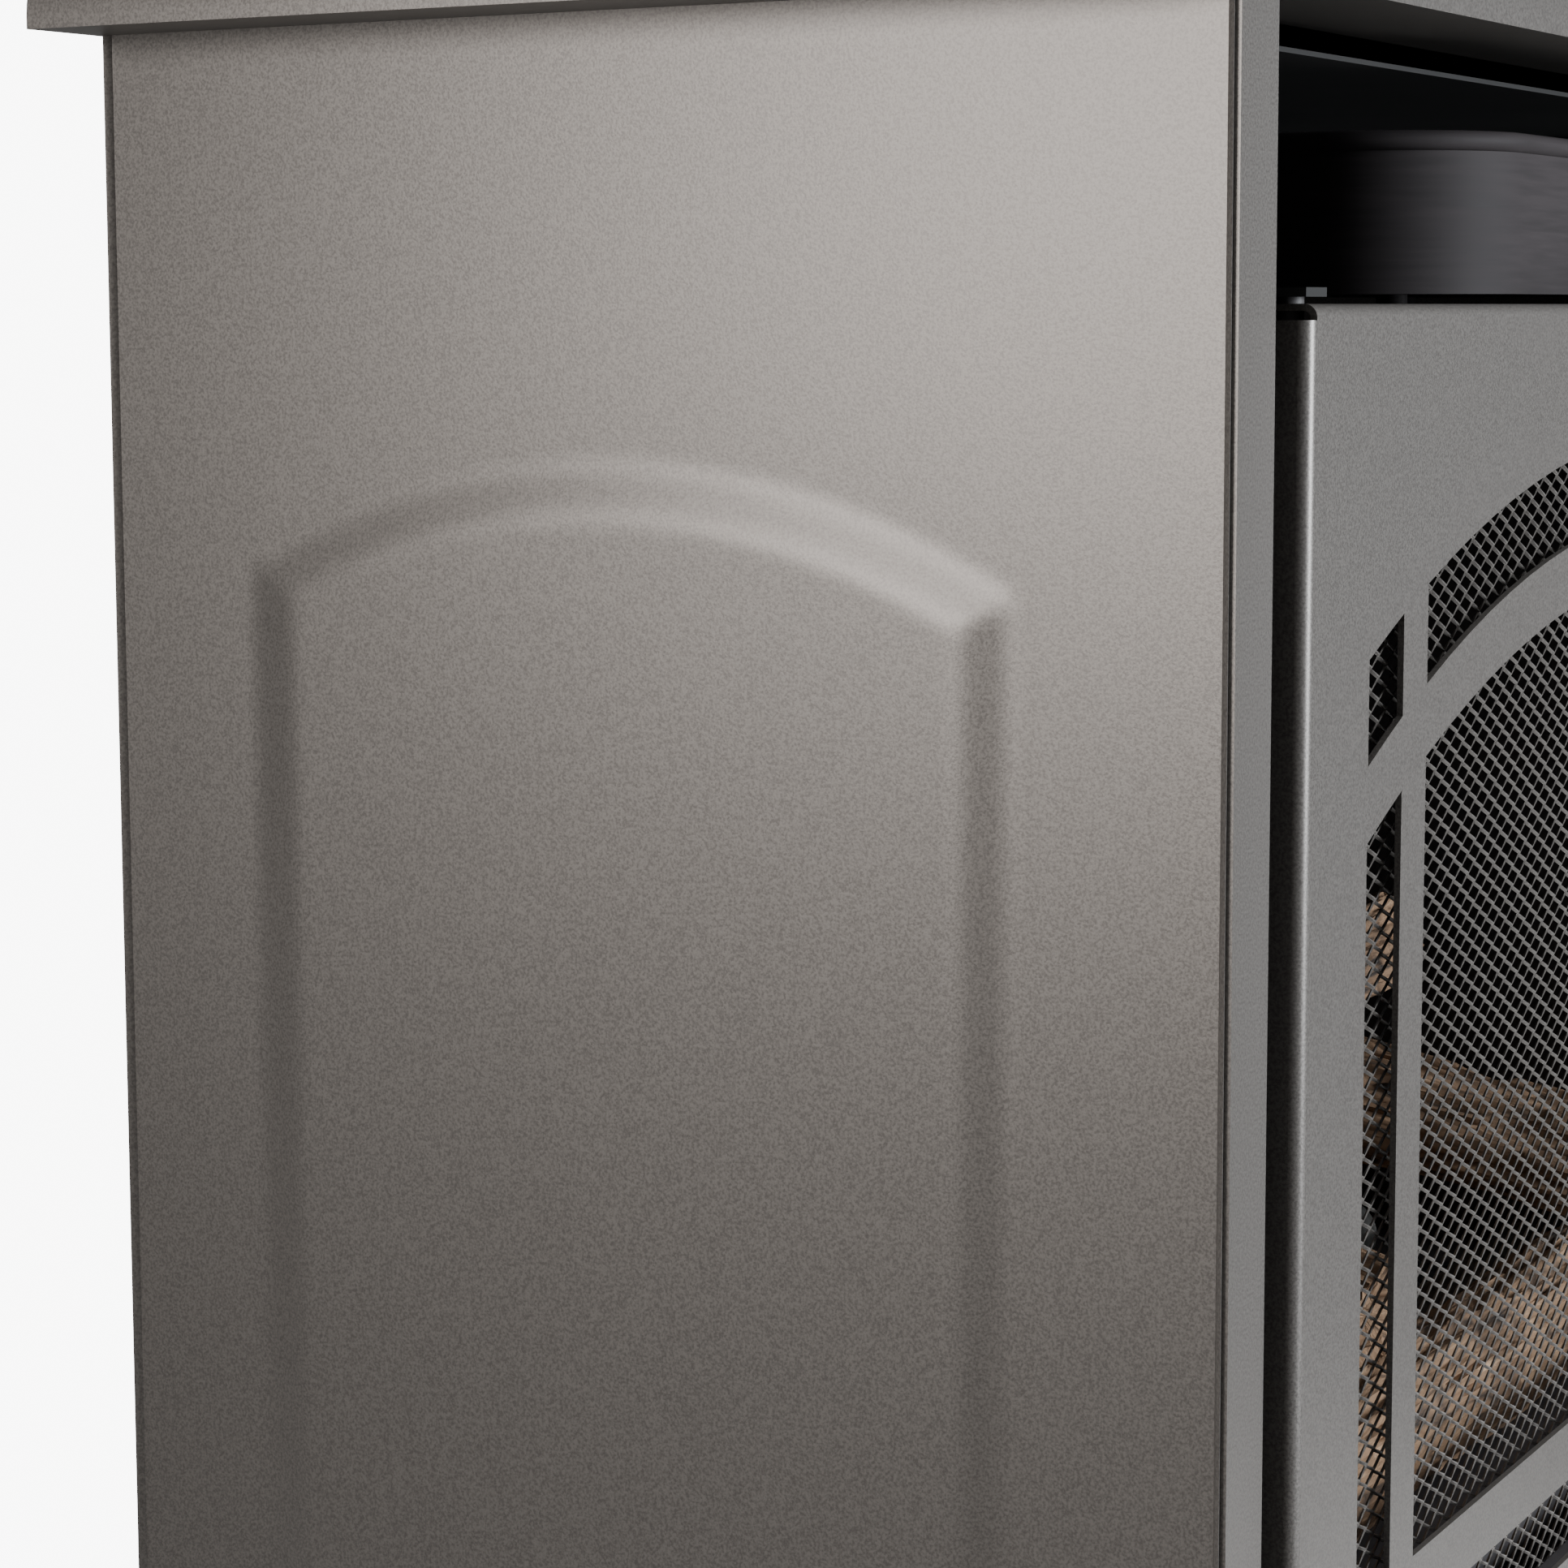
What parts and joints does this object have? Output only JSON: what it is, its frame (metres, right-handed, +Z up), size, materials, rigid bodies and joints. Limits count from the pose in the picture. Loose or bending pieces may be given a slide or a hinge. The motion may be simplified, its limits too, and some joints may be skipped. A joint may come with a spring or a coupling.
{
  "type": "gas log stove",
  "caption": "Free-standing gas log stove: folded steel cabinet with a hinged arched mesh screen door, ceramic logs, burners and a drop-down control door.",
  "frame": {"origin": "on the floor under the middle of the case", "axes": "+X to the right seen from the front, +Y to the back, +Z up"},
  "size_m": [0.62, 0.354, 0.65],
  "materials": {
    "case_paint": "fine textured charcoal stove paint",
    "black_paint": "matt black heat-resistant paint",
    "gloss_black": "semi-gloss black enamel",
    "mesh_paint": "expanded steel mesh in the case paint",
    "zinc_steel": "bright zinc plate",
    "aluminised_steel": "aluminised steel",
    "handle_metal": "satin nickel plate",
    "brass": "turned brass",
    "cast_metal": "die-cast alloy",
    "aluminium_tube": "drawn aluminium",
    "copper_lead": "silicone-sheathed lead",
    "black_plastic": "moulded black nylon",
    "red_plastic": "moulded red plastic",
    "ceramic": "glazed alumina ceramic",
    "magnet": "ferrite magnet in a steel cup",
    "log_ceramic": "painted ceramic fibre, bark texture",
    "ember_ceramic": "loose ember rock"
  },
  "bodies": {
    "cabinet": {"top_plate": "case_paint", "side_panel_left": "case_paint", "side_panel_right": "case_paint", "base_plate": "case_paint", "feet": "case_paint", "back_panel": "black_paint", "face_frame": "black_paint", "heat_shield": "black_paint", "hinge_brackets": "black_paint", "control_hinge_brackets": "black_paint", "control_bracket": "black_paint", "firebox_floor": "black_paint", "firebox_side_left": "black_paint", "firebox_side_right": "black_paint", "firebox_back": "black_paint", "firebox_top": "black_paint", "hood": "gloss_black", "back_screws": "zinc_steel", "foot_screws": "zinc_steel", "magnet_catch": "magnet", "control_catch": "magnet", "gas_valve": "cast_metal", "regulator": "cast_metal", "inlet_fitting": "brass", "burner_injector": "brass", "pilot_burner": "brass", "supply_tube": "aluminium_tube", "manifold_tube": "aluminium_tube", "pilot_tube": "aluminium_tube", "front_burner": "aluminised_steel", "rear_burner": "aluminised_steel", "crossover_tube": "aluminised_steel", "burner_brackets": "aluminised_steel", "pilot_bracket": "aluminised_steel", "ignition_lead": "copper_lead", "thermocouple": "copper_lead", "igniter_body": "black_plastic", "spark_electrode": "ceramic", "front_log": "log_ceramic", "rear_log": "log_ceramic", "cross_log_left": "log_ceramic", "cross_log_right": "log_ceramic", "log_branches": "log_ceramic", "top_log": "log_ceramic", "ember_bed": "ember_ceramic"},
    "screen_door": {"screen_door": "case_paint", "mesh_frame": "black_paint", "door_mesh": "mesh_paint", "mesh_retainers": "black_paint", "hinge_pins": "black_paint", "door_handle": "handle_metal", "handle_screws": "zinc_steel", "door_strike": "zinc_steel"},
    "control_door": {"control_door": "case_paint", "control_hinge_rod": "zinc_steel", "control_pull": "black_paint"},
    "valve_plunger": {"valve_plunger": "brass"},
    "control_knob": {"control_knob": "black_plastic", "valve_stem": "brass"},
    "igniter_button": {"igniter_button": "red_plastic"}
  },
  "joints": [
    {"name": "screen_door_hinge", "type": "hinge", "parent": "cabinet", "child": "screen_door", "pos_m": [-0.242, -0.14, 0.37525], "axis": [0, 0, -1], "range_deg": [0, 105]},
    {"name": "control_door_hinge", "type": "hinge", "parent": "cabinet", "child": "control_door", "pos_m": [0, -0.14, 0.082], "axis": [1, 0, 0], "range_deg": [0, 90]},
    {"name": "valve_push", "type": "slide", "parent": "cabinet", "child": "valve_plunger", "axis": [0, 1, 0], "range_m": [0, 0.003], "stiffness_N_per_m": 2000, "springref_m": -0.002},
    {"name": "knob_turn", "type": "hinge", "parent": "valve_plunger", "child": "control_knob", "pos_m": [0.04, -0.126, 0.12], "axis": [0, 1, 0], "range_deg": [0, 240]},
    {"name": "igniter_push", "type": "slide", "parent": "cabinet", "child": "igniter_button", "axis": [0, 1, 0], "range_m": [0, 0.006], "stiffness_N_per_m": 1500, "springref_m": -0.003}
  ]
}
